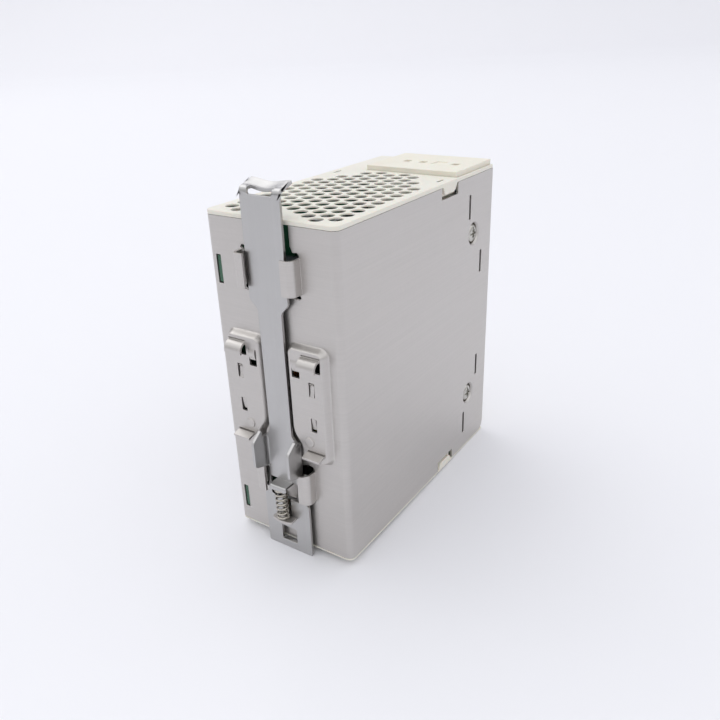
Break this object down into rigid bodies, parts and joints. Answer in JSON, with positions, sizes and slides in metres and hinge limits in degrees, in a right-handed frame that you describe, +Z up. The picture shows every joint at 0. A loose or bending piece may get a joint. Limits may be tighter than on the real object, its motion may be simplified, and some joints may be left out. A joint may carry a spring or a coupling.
{
  "type": "din rail power supply",
  "caption": "Power supply for a 35 mm mounting rail: folded steel case with a sprung rail clip, vented plastic covers, screw terminals and the converter inside.",
  "frame": {"origin": "under the middle of the whole object, at the height of the lower end of the rail clip", "axes": "+Z up along the height, -Y towards the mounting rail (the back), +Y towards the terminals (the front), +X to the right seen from the back"},
  "size_m": [0.056, 0.1264, 0.1454],
  "materials": {
    "case_steel": "brushed, matt, zinc-plated look",
    "clip_stainless": "rolled, polished",
    "spring_wire": "bright nickel",
    "ivory_plastic": "fine matt texture",
    "nickel_plate": "bright nickel plate",
    "circuit_board": "solder mask",
    "insulating_film": "thin film",
    "heat_aluminium": "mill finish",
    "thermal_silicone": "soft pad",
    "ferrite_black": "sintered",
    "winding_tape": "polyester tape",
    "enamelled_copper": "enamelled wire, simplified",
    "capacitor_sleeve": "shrink sleeve",
    "yellow_film_case": "moulded box",
    "black_epoxy": "moulded",
    "fuse_ceramic": "glazed",
    "blue_plastic": "moulded",
    "knob_white": "moulded",
    "light_pipe": "clear moulded lens"
  },
  "bodies": {
    "housing": {"boost_choke_coil": "enamelled_copper", "boost_choke_core": "ferrite_black", "bottom_cover": "ivory_plastic", "bridge_rectifier": "black_epoxy", "bulk_capacitor": "capacitor_sleeve", "case_screw_lower": "nickel_plate", "case_screw_upper": "nickel_plate", "case_shell": "case_steel", "clip_spring": "spring_wire", "filter_choke_coil": "enamelled_copper", "filter_choke_core": "ferrite_black", "front_board": "circuit_board", "front_panel": "ivory_plastic", "fuse": "fuse_ceramic", "heat_spreader": "heat_aluminium", "input_clamp_1": "nickel_plate", "input_clamp_2": "nickel_plate", "input_clamp_3": "nickel_plate", "input_terminal_body": "ivory_plastic", "inrush_thermistor": "capacitor_sleeve", "insulation_sheet": "insulating_film", "line_capacitor": "yellow_film_case", "main_board": "circuit_board", "mode_switch_body": "capacitor_sleeve", "output_capacitor_1": "capacitor_sleeve", "output_capacitor_2": "capacitor_sleeve", "output_capacitor_3": "capacitor_sleeve", "output_clamp_1": "nickel_plate", "output_clamp_2": "nickel_plate", "output_clamp_3": "nickel_plate", "output_clamp_4": "nickel_plate", "output_heatsink": "heat_aluminium", "output_rectifier": "black_epoxy", "output_terminal_body": "ivory_plastic", "power_transistor": "black_epoxy", "relay": "black_epoxy", "status_light_1": "light_pipe", "status_light_2": "light_pipe", "thermal_pad": "thermal_silicone", "top_cover": "ivory_plastic", "transformer_coil": "winding_tape", "transformer_core": "ferrite_black", "trim_pot_body": "blue_plastic"},
    "clip": {"rail_clip": "clip_stainless"},
    "flap": {"front_flap": "ivory_plastic"},
    "trim": {"trim_pot_rotor": "knob_white"},
    "mode": {"mode_switch_knob": "knob_white"},
    "output_screw_1": {"output_screw_1": "nickel_plate"},
    "output_screw_2": {"output_screw_2": "nickel_plate"},
    "output_screw_3": {"output_screw_3": "nickel_plate"},
    "output_screw_4": {"output_screw_4": "nickel_plate"},
    "input_screw_1": {"input_screw_1": "nickel_plate"},
    "input_screw_2": {"input_screw_2": "nickel_plate"},
    "input_screw_3": {"input_screw_3": "nickel_plate"}
  },
  "joints": [
    {"name": "clip_slide", "type": "slide", "parent": "housing", "child": "clip", "axis": [0, 0, 1], "range_m": [-0.005, 0], "stiffness_N_per_m": 1200, "springref_m": 0.006, "deforming": ["clip_spring"]},
    {"name": "flap_hinge", "type": "hinge", "parent": "housing", "child": "flap", "pos_m": [0, 0.06225, 0.0608], "axis": [1, 0, 0], "range_deg": [-90, 0]},
    {"name": "trim_turn", "type": "hinge", "parent": "housing", "child": "trim", "pos_m": [-0.006, 0.05625, 0.0748], "axis": [0, 1, 0], "range_deg": [-130, 130]},
    {"name": "mode_slide", "type": "slide", "parent": "housing", "child": "mode", "axis": [0, 0, 1], "range_m": [0, 0.004]},
    {"name": "output_screw_1_turn", "type": "hinge", "parent": "housing", "child": "output_screw_1", "pos_m": [-0.0041, 0.05825, 0.1263], "axis": [0, 1, 0], "continuous": true},
    {"name": "output_screw_2_turn", "type": "hinge", "parent": "housing", "child": "output_screw_2", "pos_m": [0.00352, 0.05825, 0.1263], "axis": [0, 1, 0], "continuous": true},
    {"name": "output_screw_3_turn", "type": "hinge", "parent": "housing", "child": "output_screw_3", "pos_m": [0.01114, 0.05825, 0.1263], "axis": [0, 1, 0], "continuous": true},
    {"name": "output_screw_4_turn", "type": "hinge", "parent": "housing", "child": "output_screw_4", "pos_m": [0.01876, 0.05825, 0.1263], "axis": [0, 1, 0], "continuous": true},
    {"name": "input_screw_1_turn", "type": "hinge", "parent": "housing", "child": "input_screw_1", "pos_m": [-0.00762, 0.05825, 0.0108], "axis": [0, 1, 0], "continuous": true},
    {"name": "input_screw_2_turn", "type": "hinge", "parent": "housing", "child": "input_screw_2", "pos_m": [0, 0.05825, 0.0108], "axis": [0, 1, 0], "continuous": true},
    {"name": "input_screw_3_turn", "type": "hinge", "parent": "housing", "child": "input_screw_3", "pos_m": [0.00762, 0.05825, 0.0108], "axis": [0, 1, 0], "continuous": true}
  ]
}
